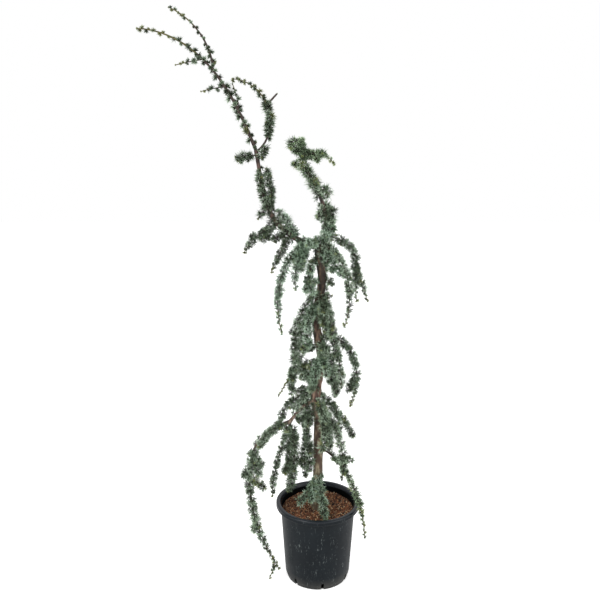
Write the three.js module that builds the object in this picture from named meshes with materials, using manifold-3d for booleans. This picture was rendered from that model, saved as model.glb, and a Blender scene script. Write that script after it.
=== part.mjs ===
// A young weeping blue cedar in a black nursery pot: a sinuous trunk, one tall bough that climbs to the left,
// and ropes of needles that weep round the trunk from the fork down to the soil.
// Millimetres and degrees, +Z up. The origin is the middle of the pot's flat underside.
// Seen from the front, +X runs to the right and +Y runs away.
// Heading 0 is to the right, 90 to the back, 180 to the left and 270 to the front.

import * as THREE from "three";
import { mergeVertices } from "three/addons/utils/BufferGeometryUtils.js";
import Module from "manifold-3d";

const wasm = await Module();
wasm.setup();

// Driving sizes. GAP is the clearance between neighbouring pieces, CUT what is cut away to leave it,
// and CLOSEST the least that faceted neighbours may come to.
const GAP = 0.3;
const CUT = 0.38;
const CLOSEST = 0.24;
const GOLDEN_ANGLE = 137.5;

const POT = {
  height: 292,
  rimRadius: 150,
  lipDepth: 19,
  wallTopRadius: 133,
  footRadius: 117,
  chamfer: 6,
  chamferHeight: 20,
  wall: 3,
  floor: 4,
  sides: 36,
};

const DRAIN = { count: 7, heading: 278, width: 10, height: 27, depth: 18 };

const SOIL = { level: 264, edgeDip: 5, edgeWidth: 18 };

const TRUNK = { top: 1228, footRadius: 17.5, topRadius: 13, sides: 10, rings: 34 };
const FLARE = { width: 8, height: 40, lobes: 5, lobeDepth: 0.16 };
const SWAY = { width: 9, depth: 5.4, length: 285, trough: 682, from: 532, to: 1122 };

const BOUGH = { step: 30, sides: 6 };

// A shoot has a woody root, a core of packed needles along its clad share and a slim whip at its tip.
// "swell" is where the root swells to the core, in lengths of the bare root, and "shoulder" is the share of
// the whip over which the needles shorten.
const SHOOT = {
  step: 19.5,
  sides: 6,
  swell: [0.5, 1.5],
  shoulder: 0.5,
  core: 7,
  root: 1.8,
  rootGain: 0.005,
  tip: 1.2,
};

// Side twigs leave a shoot golden angle by golden angle, and sag.
const TWIG = { step: 16, sides: 4, first: 24, spacing: 240, length: 38, shortest: 28, angle: 52, sag: 45 };
const TWIG_NEEDLES = { bare: 12, clad: 0.6, core: 3.4 };
const TWIG_SPREAD = { spacing: [0.8, 1.2], length: [0.7, 1.3], shrink: [1, 0.6] };

// Sprays of needles stand out of every other corner of a ring.
// "rooms" are the widths of the space that is kept for a spray.
const SPRAY = { reach: 19, spread: [0.79, 1.14], lean: 0.45, tipScale: 0.42, end: 9, rooms: [9, 14, 20, 32] };

// Seeds: each mass, shoot and twig has its own, so that each one grows in its own way.
const SEED = { perMass: 7, perShoot: 5, turn: 40, spacingRolls: 50, perRing: 7 };

// Boughs, each one tapering limb. "at" is the distance along the limb that carries it.
const BOUGHS = [
  { name: "leader", on: "trunk", at: 938, heading: 180, climb: 132, fall: 51, bend: 0.52, length: 309,
    from: 8.5, to: 4.4 },
  { name: "tall_bough_lower", on: "trunk", at: 952, heading: 187, climb: 13, fall: 56, length: 196,
    from: 9.5, to: 7.8 },
  { name: "tall_bough_upper", on: "tall_bough_lower", at: 192, heading: 183, climb: 62, fall: 83, bend: 0.4,
    length: 217, from: 7.5, to: 5.6 },
  { name: "low_bough_inner", on: "trunk", at: 414, heading: 206, climb: 0, fall: -52, bend: 0.6, length: 127,
    from: 6.6, to: 5.4 },
  { name: "low_bough_outer", on: "low_bough_inner", at: 122, heading: 206, climb: -15, fall: -55, bend: 2.4,
    length: 148, from: 5.2, to: 4.2 },
];

// Masses of foliage. A row is one shoot: where it starts, how it heads, climbs and falls, and how long it is.
// "bare" is the length of its woody root, "clad" the share of its length in full needle, and "tuft" scales
// the needles. "forks" are shoots of the same mass that leave the first one.
const SHOOT_DEFAULTS = { bend: 1, bare: 12, clad: 0.95, tuft: 1, tone: "grey", forks: [] };
const MASSES = [
  { name: "tall_crown", on: "tall_bough_upper", at: 214, heading: 189, climb: 68, fall: 1, bend: 2,
    length: 534, clad: 0.3, tuft: 0.7, tone: "dark", forks: [
      { at: 278, heading: 158, climb: 94, fall: 23, bend: 0.7, length: 251, clad: 0.2, tuft: 0.55 },
      { at: 321, heading: 215, climb: -10, fall: -14, length: 92, clad: 0.3, tuft: 0.55 },
      { at: 217, heading: 172, climb: -4, fall: -15, length: 76, clad: 0.3, tuft: 0.6 },
      { at: 133, heading: 150, climb: 98, fall: 64, bend: 0.5, length: 85, clad: 0.3, tuft: 0.55 },
    ] },
  { name: "fork_arc", on: "tall_bough_upper", at: 213, heading: 338, climb: 29, fall: 175, bend: 0.85,
    length: 305, bare: 48, clad: 0.45, tuft: 0.85, tone: "dark", forks: [
      { at: 160, heading: 10, climb: 50, fall: 45, length: 46, clad: 0.1, tuft: 0.45 },
    ] },
  { name: "fork_left", on: "tall_bough_upper", at: 202, heading: 192, climb: -2, fall: -8, length: 66,
    tuft: 0.85, tone: "dark" },
  { name: "fork_right", on: "tall_bough_upper", at: 186, heading: 318, climb: 20, fall: 86, length: 54,
    tuft: 0.9, tone: "dark" },
  { name: "tall_sleeve_left", on: "tall_bough_upper", at: 14, heading: 200, climb: 42, fall: 84, bend: 0.35,
    length: 140, tuft: 0.8, tone: "dark" },
  { name: "tall_sleeve_right", on: "tall_bough_upper", at: 22, heading: 340, climb: 48, fall: 110, bend: 0.35,
    length: 132, tuft: 0.8, tone: "dark" },

  { name: "leader_top", on: "leader", at: 306, heading: 200, climb: 99, fall: -106, bend: 2.6, length: 118,
    tone: "green", forks: [
      { at: 24, heading: 350, climb: 31, fall: -64, bend: 1.2, length: 114, clad: 0.5, tuft: 0.9 },
      { at: 4, heading: 200, climb: 10, fall: -20, length: 28, tuft: 0.8 },
      { at: 30, heading: 60, climb: 40, fall: -70, length: 50 },
    ] },
  { name: "leader_front", on: "leader", at: 124, heading: 205, climb: 20, fall: -20, length: 27 },
  { name: "leader_right", on: "leader", at: 196, heading: 340, climb: 98, fall: -121, length: 54 },
  { name: "leader_low_right", on: "leader", at: 124, heading: 12, climb: 84, fall: -130, length: 46,
    forks: [
      { at: 6, heading: 350, climb: -60, fall: -80, length: 58 },
    ] },
  { name: "leader_back", on: "leader", at: 152, heading: 72, climb: 25, fall: -80, length: 74 },

  { name: "droop_left", on: "tall_bough_lower", at: 166, heading: 166, climb: -30, fall: -61, bend: 1.6,
    length: 154, clad: 0.72, tone: "dark" },
  { name: "bend_left", on: "tall_bough_upper", at: 30, heading: 172, climb: -21, fall: -68, length: 50,
    clad: 0.7, tuft: 0.9, tone: "dark" },
  { name: "droop_mid", on: "tall_bough_lower", at: 105, heading: 218, climb: -49, fall: -61,
    length: 137, clad: 0.75, tuft: 0.9, tone: "dark", forks: [
      { at: 11, heading: 174, climb: 22, fall: -15, bend: 0.4, length: 92, tuft: 0.9 },
    ] },
  { name: "droop_front", on: "tall_bough_lower", at: 39, heading: 214, climb: 34, fall: -106, bend: 0.36,
    length: 346, clad: 0.64, tone: "blue", forks: [
      { at: 24, heading: 240, climb: -48, fall: -105, bend: 1.3, length: 151, clad: 0.64 },
      { at: 10, heading: 262, climb: -40, fall: -80, length: 46, tuft: 0.8 },
    ] },
  { name: "bough_sleeve", on: "tall_bough_lower", at: 74, heading: 178, climb: 68, fall: 50, bend: 0.4,
    length: 118, tone: "blue" },
  { name: "droop_back", on: "tall_bough_lower", at: 30, heading: 150, climb: 34, fall: -106, bend: 0.36,
    length: 100 },

  { name: "fork_front", on: "leader", at: 36, heading: 228, climb: 24, fall: -24, length: 84,
    tone: "blue", forks: [
      { at: 8, heading: 335, climb: 66, fall: 40, length: 62 },
    ] },
  { name: "right_high", on: "leader", at: 54, heading: 14, climb: -8, fall: -116, bend: 1.65, length: 180,
    forks: [
      { at: 150, heading: 14, climb: -92, fall: -84, length: 140, clad: 0.6, tuft: 0.85 },
      { at: 168, heading: 14, climb: -69, fall: -70, length: 134, clad: 0.5, tuft: 0.85 },
    ] },
  { name: "right_second", on: "trunk", at: 955, heading: 326, climb: 130, fall: -107, bend: 0.21, length: 326,
    clad: 0.64 },
  { name: "right_third", on: "trunk", at: 934, heading: 322, climb: 31, fall: -107, length: 99,
    tuft: 1.1, tone: "blue", forks: [
      { at: 84, heading: 340, climb: -38, fall: -60, length: 46, tuft: 0.8 },
    ] },
  { name: "right_tuft", on: "trunk", at: 846, heading: 350, climb: 0, fall: -40, length: 42, tuft: 0.85 },
  { name: "left_high", on: "trunk", at: 923, heading: 212, climb: -26, fall: -103, bend: 0.8, length: 133,
    tone: "blue", forks: [
      { at: 84, heading: 350, climb: -20, fall: -40, length: 30 },
      { at: 118, heading: 340, climb: -10, fall: -30, length: 32 },
    ] },

  { name: "left_mid", on: "trunk", at: 798, heading: 186, climb: -1, fall: -100, bend: 0.38, length: 300,
    forks: [
      { at: 278, heading: 190, climb: -70, fall: -96, length: 112 },
      { at: 298, heading: 200, climb: -48, fall: -62, length: 114, clad: 0.1, tuft: 0.6 },
    ] },
  { name: "left_inner", on: "trunk", at: 769, heading: 235, climb: 46, fall: -98, bend: 0.28, length: 174,
    tone: "blue" },
  { name: "right_mid", on: "trunk", at: 787, heading: 306, climb: 5, fall: -82, bend: 0.4, length: 149,
    forks: [
      { at: 4, heading: 340, climb: 30, fall: -10, length: 40, tuft: 0.8 },
      { at: 30, heading: 270, climb: -60, fall: -88, length: 100 },
    ] },
  { name: "right_inner", on: "trunk", at: 726, heading: 332, climb: -12, fall: -89, bend: 0.36, length: 275,
    clad: 0.9 },
  { name: "right_outer", on: "trunk", at: 631, heading: 14, climb: 110, fall: -113, bend: 0.3, length: 347,
    clad: 0.7, forks: [
      { at: 224, heading: 196, climb: -50, fall: -86, length: 50, tuft: 0.95 },
    ] },
  { name: "front_upper", on: "trunk", at: 640, heading: 296, climb: 0, fall: -80, bend: 0.7, length: 74 },
  { name: "left_cross", on: "trunk", at: 628, heading: 207, climb: -26, fall: -2, length: 66, bare: 18 },
  { name: "front_middle", on: "trunk", at: 590, heading: 288, climb: 0, fall: -82, bend: 0.7, length: 92,
    tone: "blue" },
  { name: "right_low", on: "trunk", at: 556, heading: 10, climb: -42, fall: -75, bend: 0.4, length: 136 },
  { name: "left_short", on: "trunk", at: 568, heading: 150, climb: -6, fall: -48, bend: 0.4, length: 123,
    bare: 50, forks: [
      { at: 10, heading: 215, climb: -5, fall: -70, length: 50 },
    ] },
  { name: "left_hook", on: "trunk", at: 522, heading: 210, climb: -4, fall: -20, length: 80, forks: [
      { at: 24, heading: 232, climb: -70, fall: -95, length: 62 },
    ] },
  { name: "front_lower", on: "trunk", at: 572, heading: 248, climb: 0, fall: -86, bend: 0.7, length: 104,
    tone: "blue" },

  { name: "left_low", on: "trunk", at: 455, heading: 156, climb: -28, fall: -81, bend: 1.9, length: 214,
    forks: [
      { at: 40, heading: 205, climb: -75, fall: -8, bend: 0.8, length: 84 },
    ] },
  { name: "low_tail", on: "low_bough_outer", at: 144, heading: 212, climb: -28, fall: -118, bend: 0.26,
    length: 526, clad: 0.66, forks: [
      { at: 14, heading: 322, climb: -56, fall: -90, bend: 0.5, length: 92 },
      { at: 82, heading: 190, climb: -45, fall: -75, length: 32 },
      { at: 116, heading: 345, climb: -10, fall: -50, length: 44 },
      { at: 492, heading: 200, climb: -80, fall: -64, length: 66, clad: 0.1, tuft: 0.6 },
    ] },
  { name: "low_sleeve", on: "low_bough_inner", at: 112, heading: 212, climb: -1, fall: -57, length: 150,
    forks: [
      { at: 14, heading: 262, climb: 20, fall: -60, length: 52 },
    ] },
  { name: "hang_outer", on: "low_bough_inner", at: 114, heading: 204, climb: -69, fall: -92, bend: 2.6,
    length: 282, clad: 0.9, tuft: 0.85 },
  { name: "hang_middle", on: "low_bough_inner", at: 122, heading: 305, climb: -28, fall: -115, bend: 0.36,
    length: 276, clad: 0.92, tuft: 1.15, tone: "dark", forks: [
      { at: 44, heading: 190, climb: -75, fall: -90, length: 120 },
      { at: 142, heading: 185, climb: -30, fall: -70, length: 52 },
    ] },
  { name: "hang_inner", on: "trunk", at: 390, heading: 207, climb: -19, fall: -97, bend: 0.27, length: 269,
    tuft: 0.9, forks: [
      { at: 20, heading: 194, climb: -22, fall: -46, length: 62, tuft: 0.9 },
      { at: 92, heading: 310, climb: -74, fall: -90, length: 146 },
      { at: 170, heading: 190, climb: -50, fall: -85, length: 48 },
    ] },
  { name: "front_right", on: "trunk", at: 416, heading: 294, climb: 50, fall: -112, bend: 0.36, length: 204,
    forks: [
      { at: 50, heading: 326, climb: -60, fall: -92, length: 116 },
    ] },
  { name: "right_a", on: "trunk", at: 448, heading: 14, climb: -44, fall: -69, bend: 1.4, length: 235,
    forks: [
      { at: 98, heading: 325, climb: -64, fall: -94, length: 92 },
    ] },
  { name: "right_b", on: "trunk", at: 387, heading: 322, climb: 30, fall: -98, bend: 0.36, length: 290,
    clad: 0.82, forks: [
      { at: 198, heading: 350, climb: -15, fall: -50, length: 38 },
    ] },
  { name: "right_whip", on: "trunk", at: 232, heading: 331, climb: 46, fall: -86, bend: 0.28, length: 380,
    bare: 55, clad: 0.68, tuft: 0.8, tone: "green" },
  { name: "base_left", on: "trunk", at: 127, heading: 222, climb: -74, fall: -29, bend: 0.36, length: 122,
    tone: "blue", forks: [
      { at: 40, heading: 262, climb: -50, fall: -30, length: 60 },
    ] },
  { name: "base_front", on: "trunk", at: 158, heading: 284, climb: -76, fall: -31, bend: 0.84, length: 185,
    tone: "blue" },

  { name: "back_high", on: "trunk", at: 915, heading: 80, climb: 5, fall: -96, bend: 0.5, length: 270 },
  { name: "back_mid", on: "trunk", at: 730, heading: 130, climb: -8, fall: -96, bend: 0.5, length: 250 },
  { name: "back_right", on: "trunk", at: 610, heading: 50, climb: -8, fall: -96, bend: 0.5, length: 240 },
  { name: "back_low", on: "trunk", at: 480, heading: 118, climb: -10, fall: -96, bend: 0.5, length: 240 },
  { name: "back_hang", on: "trunk", at: 400, heading: 55, climb: -5, fall: -96, bend: 0.45, length: 250 },
];

// Colours and roughness of the pot, the soil, the bark and the four tones of needle.
const FINISHES = {
  pot: { color: "#2b3034", roughness: 0.45 },
  soil: { color: "#6d4434", roughness: 0.95 },
  bark: { color: "#6b4a3e", roughness: 0.9 },
  grey: { color: "#6a8579", roughness: 0.8 },
  blue: { color: "#86a79c", roughness: 0.8 },
  dark: { color: "#4d6156", roughness: 0.8 },
  green: { color: "#71805c", roughness: 0.8 },
};

const { degToRad, radToDeg, lerp, smoothstep, clamp } = THREE.MathUtils;

// A repeatable number from 0 to 1 for a seed and a count.
function chance(seed, count) {
  const wave = Math.sin(seed * 127.1 + count * 311.7) * 43758.5453;
  return wave - Math.floor(wave);
}

// Paths: a path is a row of stations, each with its point, its way ahead and the two ways across.
function station(point, yaw, pitch) {
  const flat = Math.cos(pitch);
  return {
    point,
    ahead: new THREE.Vector3(flat * Math.cos(yaw), flat * Math.sin(yaw), Math.sin(pitch)),
    side: new THREE.Vector3(-Math.sin(yaw), Math.cos(yaw), 0),
    lift: new THREE.Vector3(-Math.sin(pitch) * Math.cos(yaw), -Math.sin(pitch) * Math.sin(yaw), flat),
  };
}

// A limb sets off at its heading and climb, and bends until its tip points along "fall".
function limbPath(start, { heading, climb, fall, bend = 1, length }, step) {
  const steps = Math.max(2, Math.round(length / step));
  const yaw = degToRad(heading);
  const pitchAt = (share) => degToRad(climb + (fall - climb) * share ** bend);
  const stations = [station(start.clone(), yaw, pitchAt(0))];
  for (let i = 0; i < steps; i += 1) {
    const { ahead } = station(start, yaw, pitchAt((i + 0.5) / steps));
    const point = stations[i].point.clone().addScaledVector(ahead, length / steps);
    stations.push(station(point, yaw, pitchAt((i + 1) / steps)));
  }
  return { stations, length };
}

// The trunk rises straight from the soil, then sways left and right with a lesser sway fore and aft.
function trunkPath() {
  const foot = SOIL.level + GAP;
  const stations = [];
  for (let i = 0; i <= TRUNK.rings; i += 1) {
    const z = lerp(foot, TRUNK.top, i / TRUNK.rings);
    const sway = smoothstep(z, SWAY.from, SWAY.trough) * (1 - smoothstep(z, SWAY.to, TRUNK.top));
    const phase = (2 * Math.PI * (z - SWAY.trough)) / SWAY.length;
    const x = -sway * SWAY.width * Math.cos(phase);
    const y = sway * SWAY.depth * Math.sin(phase);
    const point = new THREE.Vector3(x, y, z);
    stations.push(station(point, 0, Math.PI / 2));
  }
  return { stations, length: TRUNK.top - foot };
}

// The station at a distance along a path, read between its neighbours.
function along(path, distance) {
  const place = clamp(distance / path.length, 0, 1) * (path.stations.length - 1);
  const index = Math.min(Math.floor(place), path.stations.length - 2);
  const [here, next] = [path.stations[index], path.stations[index + 1]];
  const between = (key) => here[key].clone().lerp(next[key], place - index);
  return {
    point: between("point"),
    ahead: between("ahead").normalize(),
    side: between("side").normalize(),
    lift: between("lift").normalize(),
  };
}

// The way out of a path at an angle round it.
function across({ side, lift }, angle) {
  return side.clone().multiplyScalar(Math.cos(angle)).addScaledVector(lift, Math.sin(angle));
}

// Solids: a three.js geometry, welded, for joining and cutting.
function solidOf(geometry) {
  const bare = new THREE.BufferGeometry();
  bare.setAttribute("position", geometry.getAttribute("position"));
  bare.setIndex(geometry.getIndex());
  const welded = mergeVertices(bare, 1e-4);
  const corners = welded.getIndex().array;
  const kept = [];
  for (let i = 0; i < corners.length; i += 3) {
    const [a, b, c] = [corners[i], corners[i + 1], corners[i + 2]];
    if (a !== b && b !== c && a !== c) kept.push(a, b, c);
  }
  const mesh = new wasm.Mesh({
    numProp: 3,
    vertProperties: new Float32Array(welded.getAttribute("position").array),
    triVerts: new Uint32Array(kept),
  });
  return new wasm.Manifold(mesh);
}

// A cylinder bent along a path. cornerAt places each corner of each ring, and the far cap may be pointed.
function bentCylinder({ stations }, sides, cornerAt, pointed = 0) {
  const rings = stations.length - 1;
  const geometry = new THREE.CylinderGeometry(1, 1, 1, sides, rings);
  const position = geometry.getAttribute("position");
  for (let i = 0; i < position.count; i += 1) {
    const [x, y, z] = [position.getX(i), position.getY(i), position.getZ(i)];
    const ring = Math.round((y + 0.5) * rings);
    const column = Math.round((Math.atan2(x, z) / (2 * Math.PI)) * sides + sides) % sides;
    const { point, ahead } = stations[ring];
    const capMiddle = point.clone().addScaledVector(ahead, ring === rings ? pointed : 0);
    const spot = Math.hypot(x, z) < 0.5 ? capMiddle : cornerAt(ring, column);
    position.setXYZ(i, spot.x, spot.y, spot.z);
  }
  return solidOf(geometry);
}

// A round limb whose radius may vary along it and round it.
function tube(path, radiusAt, sides) {
  return bentCylinder(path, sides, (ring, column) => {
    const stop = path.stations[ring];
    const angle = (2 * Math.PI * column) / sides;
    const radius = radiusAt(ring / (path.stations.length - 1), angle);
    return stop.point.clone().addScaledVector(across(stop, angle), radius);
  });
}

// The same limb grown all over, for cutting clearance into its neighbours.
function grownTube(path, radiusAt, sides) {
  const stations = path.stations.map((stop) => ({ ...stop, point: stop.point.clone() }));
  const last = stations[stations.length - 1];
  stations[0].point.addScaledVector(stations[0].ahead, -GAP);
  last.point.addScaledVector(last.ahead, GAP);
  return tube({ stations }, (share, angle) => radiusAt(share, angle) + CUT, sides);
}

const boxesMeet = (a, b) =>
  [0, 1, 2].every((axis) => a.min[axis] < b.max[axis] + GAP && b.min[axis] < a.max[axis] + GAP);

function touches(solid, others) {
  const box = solid.boundingBox();
  return others.some((other) => boxesMeet(box, other.box) && solid.minGap(other.solid, GAP) < CLOSEST);
}

// The largest closed body of a solid: loose scraps are dropped and sealed hollows are filled.
function largestBody(solid) {
  return solid.decompose().reduce((best, body) => (body.volume() > best.volume() ? body : best));
}

// Cuts clearance for limbs that stand already, so that a limb starts flush with the one that carries it.
function cutClear(solid, limbs) {
  const box = solid.boundingBox();
  const near = limbs.filter((limb) => boxesMeet(box, limb.box));
  return largestBody(near.reduce((rest, limb) => rest.subtract(limb.grown), solid));
}

// A node in the making: its solid, its box, its grown limbs and the point that it is placed by.
function piece(name, finish, root, solid, grown = null) {
  return { name, finish, root, solid, grown, box: solid.boundingBox() };
}

function reshape(node, solid) {
  node.solid = solid;
  node.box = solid.boundingBox();
}

const fuse = (solids) => solids.reduce((sum, solid) => sum.add(solid));

// A solid of revolution about the pot's axis, from its radii and heights.
function turned(profile) {
  const points = profile.map(([radius, height]) => new THREE.Vector2(radius, height));
  return solidOf(new THREE.LatheGeometry(points, POT.sides).rotateX(Math.PI / 2));
}

// Pot and soil.
function potSolid() {
  const { height, rimRadius, lipDepth, wallTopRadius, footRadius, chamfer, chamferHeight, wall, floor } = POT;
  const lipFoot = height - lipDepth;
  let pot = turned([
    [0, 0],
    [footRadius - chamfer, 0],
    [footRadius, chamferHeight],
    [wallTopRadius, lipFoot - wall],
    [rimRadius - 2 * wall, lipFoot],
    [rimRadius, lipFoot + 2 * wall],
    [rimRadius, height - 2 * wall],
    [rimRadius - wall, height],
    [wallTopRadius + wall, height],
    [wallTopRadius - wall, lipFoot + 3 * wall],
    [footRadius - wall, chamferHeight],
    [footRadius - chamfer - wall, floor],
    [0, floor],
  ]);
  for (let i = 0; i < DRAIN.count; i += 1) {
    const notch = new THREE.BoxGeometry(DRAIN.depth, DRAIN.width, 2 * DRAIN.height);
    notch.translate(footRadius - wall, 0, 0).rotateZ(degToRad(DRAIN.heading + (i * 360) / DRAIN.count));
    pot = pot.subtract(solidOf(notch));
  }
  return pot;
}

function soilSolid() {
  const { height, lipDepth, wallTopRadius, footRadius, chamfer, chamferHeight, wall, floor } = POT;
  const edge = SOIL.level - SOIL.edgeDip;
  const rise = (edge - chamferHeight) / (height - lipDepth + 3 * wall - chamferHeight);
  const foot = footRadius - wall - CUT;
  const edgeRadius = foot + rise * (wallTopRadius - footRadius);
  return turned([
    [0, floor + GAP],
    [foot - chamfer, floor + GAP],
    [foot, chamferHeight],
    [edgeRadius, edge],
    [edgeRadius - SOIL.edgeWidth, SOIL.level],
    [0, SOIL.level],
  ]);
}

// Trunk and boughs.
function trunkRadius(share, angle) {
  const flare = Math.exp((-share * (TRUNK.top - SOIL.level)) / FLARE.height);
  const lobes = 1 + FLARE.lobeDepth * flare * Math.cos(FLARE.lobes * angle);
  return (lerp(TRUNK.footRadius, TRUNK.topRadius, share) + FLARE.width * flare) * lobes;
}

const container = [
  piece("pot", "pot", new THREE.Vector3(), potSolid()),
  piece("soil", "soil", new THREE.Vector3(), soilSolid()),
];
const paths = { trunk: trunkPath() };
const limbs = [];

function addLimb(name, path, radiusAt, sides) {
  const solid = cutClear(tube(path, radiusAt, sides), limbs);
  paths[name] = path;
  limbs.push(piece(name, "bark", path.stations[0].point, solid, grownTube(path, radiusAt, sides)));
}

addLimb("trunk", paths.trunk, trunkRadius, TRUNK.sides);
for (const bough of BOUGHS) {
  const path = limbPath(along(paths[bough.on], bough.at).point, bough, BOUGH.step);
  addLimb(bough.name, path, (share) => lerp(bough.from, bough.to, share), BOUGH.sides);
}
const wood = [...limbs];

// How far a shoot has thinned to a whip, from 0 along its clad share to 1.
function whipShare({ clad }, share) {
  return smoothstep(share, clad, lerp(clad, 1, SHOOT.shoulder));
}

// A shoot is woody at its root, swells to its core of needles and thins to a whip past its clad share.
function shootRadius({ path, row, core }) {
  const root = SHOOT.root + SHOOT.rootGain * path.length;
  return (share) => {
    const inNeedle = lerp(core, SHOOT.tip, whipShare(row, share));
    const [from, to] = SHOOT.swell.map((lengths) => lengths * row.bare);
    return lerp(root, inNeedle, smoothstep(share * path.length, from, to));
  };
}

// The side twigs of one shoot.
function twigsOf({ path, row, seed }) {
  const twigs = [];
  let distance = row.bare + TWIG.first;
  for (let k = 0; distance < path.length * row.clad; k += 1) {
    const stop = along(path, distance);
    const out = across(stop, degToRad(seed * SEED.turn + k * GOLDEN_ANGLE));
    const way = stop.ahead.clone().multiplyScalar(Math.cos(degToRad(TWIG.angle)));
    way.addScaledVector(out, Math.sin(degToRad(TWIG.angle)));
    const climb = radToDeg(Math.asin(way.z));
    const heading = radToDeg(Math.atan2(way.y, way.x));
    const shrink = lerp(...TWIG_SPREAD.shrink, distance / path.length);
    const length = TWIG.length * row.tuft * shrink * lerp(...TWIG_SPREAD.length, chance(seed, k));
    if (length > TWIG.shortest) {
      const twig = limbPath(stop.point, { heading, climb, fall: climb - TWIG.sag, length }, TWIG.step);
      const { bare, clad, core } = TWIG_NEEDLES;
      const twigSeed = seed * SEED.perShoot + k;
      twigs.push({ path: twig, row: { ...row, bare, clad }, seed: twigSeed, sides: TWIG.sides, core });
    }
    distance += TWIG.spacing * lerp(...TWIG_SPREAD.spacing, chance(seed, k + SEED.spacingRolls));
  }
  return twigs;
}

// How far the spray on one corner of a ring reaches from the shoot's middle, or 0 where there is none.
function sprayReach({ path, row, seed }, ring, column) {
  const share = ring / (path.stations.length - 1);
  if (share * path.length < row.bare || share === 1 || (ring + column) % 2 === 1) return 0;
  const uneven = lerp(...SPRAY.spread, chance(seed, ring * SEED.perRing + column));
  return SPRAY.reach * row.tuft * uneven * lerp(1, SPRAY.tipScale, whipShare(row, share));
}

// The room that a spray needs: a cone from the shoot's middle out past the spray's tip.
const UP_THE_CONE = new THREE.Vector3(0, 1, 0);
function sprayRoom(foot, tip, width) {
  const way = tip.clone().sub(foot);
  const reach = way.length() + GAP;
  const cone = new THREE.ConeGeometry(width, reach, 4, 1).translate(0, reach / 2, 0);
  cone.applyQuaternion(new THREE.Quaternion().setFromUnitVectors(UP_THE_CONE, way.normalize()));
  return solidOf(cone.translate(foot.x, foot.y, foot.z));
}

// A shoot with its sprays: one bent cylinder whose corners stand out. A spray without room keeps to the core.
function brush(shoot, others, width) {
  const { path, row, sides } = shoot;
  const radiusAt = shootRadius(shoot);
  const corners = path.stations.map((stop, ring) =>
    Array.from({ length: sides }, (_, column) => {
      const core = radiusAt(ring / (path.stations.length - 1));
      const reach = sprayReach(shoot, ring, column);
      const out = across(stop, (2 * Math.PI * column) / sides);
      const inner = stop.point.clone().addScaledVector(out, core);
      if (reach <= core) return inner;
      const tip = stop.point.clone().addScaledVector(out, reach);
      tip.addScaledVector(stop.ahead, SPRAY.lean * (reach - core));
      return touches(sprayRoom(stop.point, tip, width), others) ? inner : tip;
    }),
  );
  return bentCylinder(path, sides, (ring, column) => corners[ring][column], SPRAY.end * row.tuft);
}

// Masses: first the plain stem and forks of each one, cut clear of every limb that stands before it.
function sproutMass(mass, index) {
  const shoots = [];
  const addShoot = (start, sizes) => {
    const row = { ...SHOOT_DEFAULTS, ...sizes };
    const seed = index * SEED.perMass + shoots.length;
    const path = limbPath(start, row, SHOOT.step);
    shoots.push({ path, row, seed, sides: SHOOT.sides, core: SHOOT.core * row.tuft });
    return path;
  };
  const start = along(paths[mass.on], mass.at).point;
  const stem = addShoot(start, mass);
  for (const fork of mass.forks ?? []) addShoot(along(stem, fork.at).point, fork);
  const before = [...limbs];
  const plain = fuse(shoots.map((shoot) => tube(shoot.path, shootRadius(shoot), shoot.sides)));
  const grown = fuse(shoots.map((shoot) => grownTube(shoot.path, shootRadius(shoot), shoot.sides)));
  const node = piece(mass.name, mass.tone ?? SHOOT_DEFAULTS.tone, start, cutClear(plain, before), grown);
  limbs.push(node);
  return { node, shoots, before };
}

const masses = MASSES.map(sproutMass);
const othersOf = ({ node }) => [...container, ...limbs.filter((limb) => limb !== node)];

// Then the twigs: one that would touch another node is left out.
for (const mass of masses) {
  const others = othersOf(mass);
  for (const twig of mass.shoots.flatMap(twigsOf)) {
    const solid = tube(twig.path, shootRadius(twig), twig.sides);
    if (touches(solid, others)) continue;
    mass.shoots.push(twig);
    reshape(mass.node, mass.node.solid.add(solid));
  }
}

// Last the needles. A mass that still comes too near another is drawn again with more room round each spray.
for (const mass of masses) {
  const others = othersOf(mass);
  for (const width of SPRAY.rooms) {
    const brushes = mass.shoots.map((shoot) => brush(shoot, others, width));
    reshape(mass.node, cutClear(fuse(brushes), mass.before));
    if (!touches(mass.node.solid, others)) break;
  }
}

// The scene graph: each mesh is placed by the foot of its limb.
function meshOf({ name, finish, root, solid }) {
  const { vertProperties, triVerts } = solid.getMesh();
  const geometry = new THREE.BufferGeometry();
  geometry.setAttribute("position", new THREE.BufferAttribute(new Float32Array(vertProperties), 3));
  geometry.setIndex(new THREE.BufferAttribute(new Uint32Array(triVerts), 1));
  geometry.translate(-root.x, -root.y, -root.z);
  geometry.computeVertexNormals();
  const mesh = new THREE.Mesh(
    geometry,
    new THREE.MeshStandardMaterial({ ...FINISHES[finish], metalness: 0, flatShading: true }),
  );
  mesh.name = name;
  mesh.position.copy(root);
  return mesh;
}

function groupOf(name, nodes) {
  const group = new THREE.Group();
  group.name = name;
  group.add(...nodes.map(meshOf));
  return group;
}

const tree = new THREE.Group();
tree.name = "weeping_blue_cedar";
tree.add(groupOf("container", container));
tree.add(groupOf("wood", wood));
tree.add(groupOf("foliage", masses.map(({ node }) => node)));

export default tree;
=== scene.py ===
import math
from types import SimpleNamespace as Values

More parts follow.
